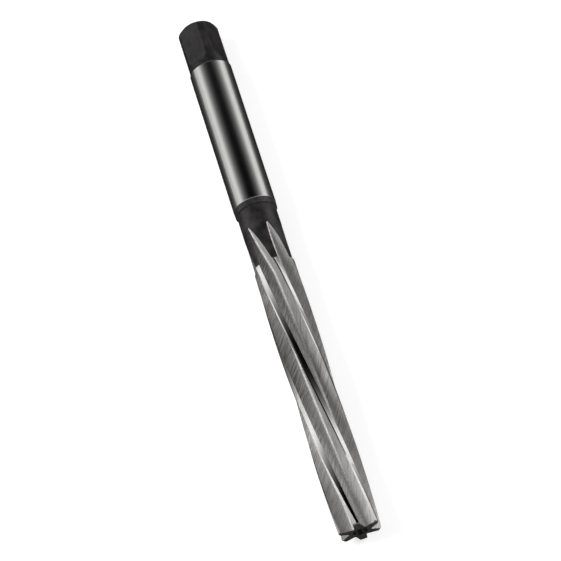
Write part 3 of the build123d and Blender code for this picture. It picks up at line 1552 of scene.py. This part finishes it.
def all_finishes(groups: ShaderGroups, height: float) -> Materials:
    """Makes the material of every finish of the tool.

    Args:
        groups: The shared effects.
        height: Height of the tool's axis, in metres.

    Returns:
        The material of each finish.
    """
    kinds = {
        Finish.BLACK_SKIN: BlackSkin(
            "black_skin", grey(0.018), (0.055, 0.049, 0.053, 1.0), (0.3, 0.45), metallic=0.6,
        ),
        Finish.BLACK_SQUARE: BlackSkin(
            "black_square", grey(0.012), (0.034, 0.031, 0.031, 1.0), (0.32, 0.48), metallic=0.5,
        ),
        # Lighter than the skin around it: painted light over the shade on the shoulder's face
        Finish.SHOULDER_PAINTED_LIGHT: BlackSkin(
            "shoulder_painted_light", grey(0.09), (0.13, 0.12, 0.125, 1.0), (0.4, 0.55), metallic=0.3,
            depth=4e-6,
        ),
        Finish.GROUND_SHANK: GroundSteel(
            "ground_shank", grey(0.7, 0.004), grey(0.6, 0.006), (0.12, 0.2), metallic=1.0,
            lines=9000.0, depth=1.5e-7, breaks=4.0,
        ),
        # Back walls: painted shade near the neck, a painted reflection lightening the root, painted
        # light towards the tip
        Finish.GROUND_FLUTE: GroundSteel(
            "ground_flute", grey(0.64, 0.012), grey(0.11, 0.008), (0.3, 0.48), metallic=0.76,
            lines=6200.0, depth=2.5e-6, slant=-1.6, breaks=3.0, patches=260.0,
            neck_painted_grey=0.01, neck_paint_share=0.55, root_painted_light=0.28, tip_painted_light=0.22,
        ),
        # Rake: a painted highlight near the neck and painted light towards the tip
        Finish.GROUND_RAKE: GroundSteel(
            "ground_rake", grey(0.7, 0.012), grey(0.15, 0.01), (0.32, 0.46), metallic=0.6,
            lines=6200.0, depth=2e-6, slant=1.6, breaks=3.0,
            neck_painted_grey=0.95, neck_paint_share=0.4, tip_painted_light=0.3,
        ),
        # Root coloured lighter than the walls beside it: a painted highlight along the bottom of each
        # flute
        Finish.ROOT_PAINTED_HIGHLIGHT: GroundSteel(
            "root_painted_highlight", grey(0.8, 0.01), grey(0.4, 0.01), (0.3, 0.4), metallic=0.4,
            lines=3000.0, depth=1e-6, slant=0.6,
        ),
        Finish.GROUND_LEAD: GroundSteel(
            "ground_lead", grey(0.8, 0.006), grey(0.6, 0.008), (0.25, 0.35), metallic=0.55,
            lines=7000.0, depth=3e-7,
        ),
        Finish.GROUND_LAND: GroundSteel(
            "ground_land", grey(0.95, 0.004), grey(0.82, 0.006), (0.1, 0.18), metallic=1.0,
            lines=7000.0, depth=2e-7,
        ),
        Finish.TIP_FACE: GroundSteel(
            "tip_face", grey(0.28, 0.006), grey(0.11, 0.004), (0.35, 0.5), metallic=0.7,
            lines=2500.0, depth=2e-6, slant=0.4,
        ),
        # Near black: painted shade deep in the centre holes
        Finish.CENTRE_HOLE_PAINTED_SHADE: GroundSteel(
            "centre_hole_painted_shade", grey(0.035, 0.002), grey(0.008, 0.001), (0.25, 0.4), metallic=0.8,
            lines=5000.0, depth=1e-6, breaks=4.0,
        ),
    }
    return {finish: kind.build(groups, height) for finish, kind in kinds.items()}


# Studio


Shades = Sequence[Range]
Place = tuple[float, float, float]


@dataclass(frozen=True)
class Lamp:
    """A soft square lamp that points at the tool and isn't mirrored in it.

    Attributes:
        name: The lamp's name.
        place: Where it hangs.
        size: Its width in metres.
        power: Its power in watts.
    """

    name: str
    place: Place
    size: float
    power: float

    def build(self) -> None:
        """Makes the lamp."""
        data = bpy.data.lights.new(self.name, "AREA")
        data.size = self.size
        data.energy = self.power
        made = bpy.data.objects.new(self.name, data)
        made.location = self.place
        made.rotation_euler = Vector(self.place).to_track_quat("Z", "Y").to_euler()
        made.visible_glossy = False
        bpy.context.scene.collection.objects.link(made)


@dataclass(frozen=True)
class Studio:
    """A plain pale floor, soft light from both sides and above, and the photograph's camera.

    Lengths and places are in metres.

    Attributes:
        floor_size: Width of the floor.
        floor_colour: Its colour under the lamps.
        floor_roughness: Its roughness.
        floor_glow: What it adds where it is seen or mirrored.
        card_size: Width of the dark card.
        card_height: Its height above the floor.
        card_shades: Its shades, from under the tool out to its edge.
        card_reach: How much further the dark reaches beside the shank than beside the flutes.
        card_turn: Places along the tool between which that changes.
        sky_tilt: Lean of the sky towards one side, in degrees.
        sky_light: Share of its strength that lights the tool.
        sky_shades: Its shades, from the horizon to straight above.
        lamps: The lamps.
        lens: The camera's focal length in millimetres.
        sensor: Width of its sensor in millimetres.
        nearest: Nearest distance that it sees.
        eye: Where it stands.
        right: The direction of its right side.
        up: The direction of its top.
        back: The direction away from what it looks at.
    """

    floor_size: float = 6.0
    floor_colour: Colour = grey(0.4)
    floor_roughness: float = 0.9
    floor_glow: float = 0.72
    card_size: float = 0.8
    card_height: float = 5e-5
    card_shades: Shades = ((0.0, 0.015), (0.02, 0.04), (0.03, 0.085), (0.055, 0.18), (0.08, 0.28),
                           (0.12, 0.37), (0.2, 0.47), (0.6, 0.6), (1.0, 0.66))
    card_reach: float = 1.9
    card_turn: Range = (-0.03, 0.005)
    sky_tilt: float = 5.0
    sky_light: float = 0.35
    sky_shades: Shades = ((0.0, 0.66), (0.12, 0.8), (0.25, 0.98), (0.4, 0.86), (0.5, 0.58),
                          (0.6, 0.3), (0.7, 0.14), (0.78, 0.06), (0.83, 0.015), (0.87, 0.0))
    lamps: Sequence[Lamp] = (
        Lamp("overhead", (-0.1, 0.0, 1.2), 1.0, 3.0),
        Lamp("left_side", (-0.25, -0.7, 0.75), 0.5, 13.0),
        Lamp("right_side", (-0.1, 0.9, 0.3), 0.6, 11.0),
    )
    lens: float = 172.893
    sensor: float = 36.0
    nearest: float = 0.01
    eye: Place = (0.277654, 0.0, 0.543139)
    right: Place = (0.276092, 0.950877, -0.140021)
    up: Place = (-0.847033, 0.309567, 0.432092)
    back: Place = (0.454212, -0.000695, 0.890893)

    def build(self) -> list[bpy.types.Object]:
        """Makes the floor, the dark card, the sky, the lamps and the camera.

        Returns:
            The floor and the card.
        """
        pieces = [self.floor(), self.card()]
        self.sky()
        for lamp in self.lamps:
            lamp.build()
        self.camera()
        return pieces

    @staticmethod
    def plane(name: str, width: float, height: float) -> tuple[bpy.types.Object, Tree]:
        """Makes a flat square, centred under the tool, with a new material of the same name.

        Args:
            name: The name of both.
            width: The square's width.
            height: Its height above the ground.

        Returns:
            The object, and the material's node tree.
        """
        half = width / 2
        sides = ((-half, -half), (half, -half), (half, half), (-half, half))
        mesh = bpy.data.meshes.new(name)
        mesh.from_pydata([(x, y, height) for x, y in sides], [], [(0, 1, 2, 3)])
        made = bpy.data.objects.new(name, mesh)
        bpy.context.scene.collection.objects.link(made)
        material = bpy.data.materials.new(name)
        material.use_nodes = True
        mesh.materials.append(material)
        return made, Tree(material.node_tree)

    def floor(self) -> bpy.types.Object:
        """Makes the pale floor, lifted to white where it is seen or mirrored.

        Returns:
            The floor.
        """
        floor, t = self.plane("floor", self.floor_size, 0.0)
        rays = t.node("ShaderNodeLightPath").outputs
        kinds = (rays["Is Camera Ray"], rays["Is Glossy Ray"], rays["Is Transmission Ray"])
        seen = t.total(*kinds, clamp=True)
        shader = t.tree.nodes["Principled BSDF"].inputs
        shader["Base Color"].default_value = self.floor_colour
        shader["Roughness"].default_value = self.floor_roughness
        shader["Specular IOR Level"].default_value = 0.0
        shader["Emission Color"].default_value = WHITE
        t.put(shader["Emission Strength"], t.times(seen, self.floor_glow))
        return floor

    def card(self) -> bpy.types.Object:
        """Makes a graded dark card under the tool, seen only in its mirror surfaces.

        It works as a studio flag does, and reaches further out beside the shank than the flutes.

        Returns:
            The card.
        """
        card, t = self.plane("dark_card", self.card_size, self.card_height)
        place = t.parts(t.node("ShaderNodeTexCoord").outputs["Object"])
        aside = t.math("DIVIDE", t.math("ABSOLUTE", place[1]), self.card_size / 2)
        aside = t.times(aside, t.graded(place[0], self.card_turn, 1 / self.card_reach, 1.0))
        shader = t.tree.nodes["Principled BSDF"].inputs
        shader["Base Color"].default_value = BLACK
        shader["Specular IOR Level"].default_value = 0.0
        shader["Emission Strength"].default_value = 1.0
        t.put(shader["Emission Color"], self.ramp(t, aside, self.card_shades))
        card.visible_camera = card.visible_diffuse = card.visible_shadow = False
        card.visible_transmission = False
        return card

    @staticmethod
    def ramp(t: Tree, value: Socket, stops: Shades) -> Socket:
        """Makes a run of greys over a value.

        Args:
            t: The tree that is being built.
            value: What it runs over.
            stops: Place and shade of each stop.

        Returns:
            The colour.
        """
        ramp = t.node("ShaderNodeValToRGB", {0: value})
        band = ramp.color_ramp
        while len(band.elements) < len(stops):
            band.elements.new(0.5)
        for element, (place, shade) in zip(band.elements, stops):
            element.position = place
            element.color = grey(shade)
        return ramp.outputs[0]

    def sky(self) -> None:
        """Makes a sky for the steel to mirror, bright low down on both sides and dark above.

        What is mirrored keeps its full strength. What only lights the tool is weaker, so that the
        lamps decide which walls of the flutes are light.
        """
        world = bpy.data.worlds.new("studio")
        bpy.context.scene.world = world
        world.use_nodes = True
        t = Tree(world.node_tree)
        direction = t.parts(t.node("ShaderNodeTexCoord").outputs["Generated"])
        tilt = math.radians(self.sky_tilt)
        upward, sideways = math.cos(tilt), math.sin(tilt)
        height = t.total(t.times(direction[2], upward), t.times(direction[1], sideways))
        rays = t.node("ShaderNodeLightPath").outputs
        seen = t.total(rays["Is Camera Ray"], rays["Is Glossy Ray"], clamp=True)
        background = t.tree.nodes["Background"].inputs
        t.put(background["Color"], self.ramp(t, height, self.sky_shades))
        t.put(background["Strength"], t.mix(seen, self.sky_light, 1.0))

    def camera(self) -> None:
        """Makes the camera, where the photograph's was."""
        data = bpy.data.cameras.new("camera")
        data.lens = self.lens
        data.sensor_width = self.sensor
        data.clip_start = self.nearest
        made = bpy.data.objects.new("camera", data)
        turned = Matrix((self.right, self.up, self.back)).transposed().to_4x4()
        made.matrix_world = Matrix.Translation(self.eye) @ turned
        bpy.context.scene.collection.objects.link(made)
        bpy.context.scene.camera = made


def main() -> None:
    """Builds the tool and its studio, and reports each piece."""
    logging.basicConfig(level=logging.INFO, format="%(name)s: %(message)s")
    sizes = ReamerSizes()
    groups = ShaderGroups()
    tool = Reamer(sizes).build(all_finishes(groups, sizes.cutting_radius * MM))
    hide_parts(NODE)
    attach(tool, "root")
    for piece in (tool, *Studio().build()):
        log.info("%s: %d faces", piece.name, len(piece.data.polygons))
    bpy.context.scene.view_settings.view_transform = "Standard"


if __name__ == "__main__":
    main()
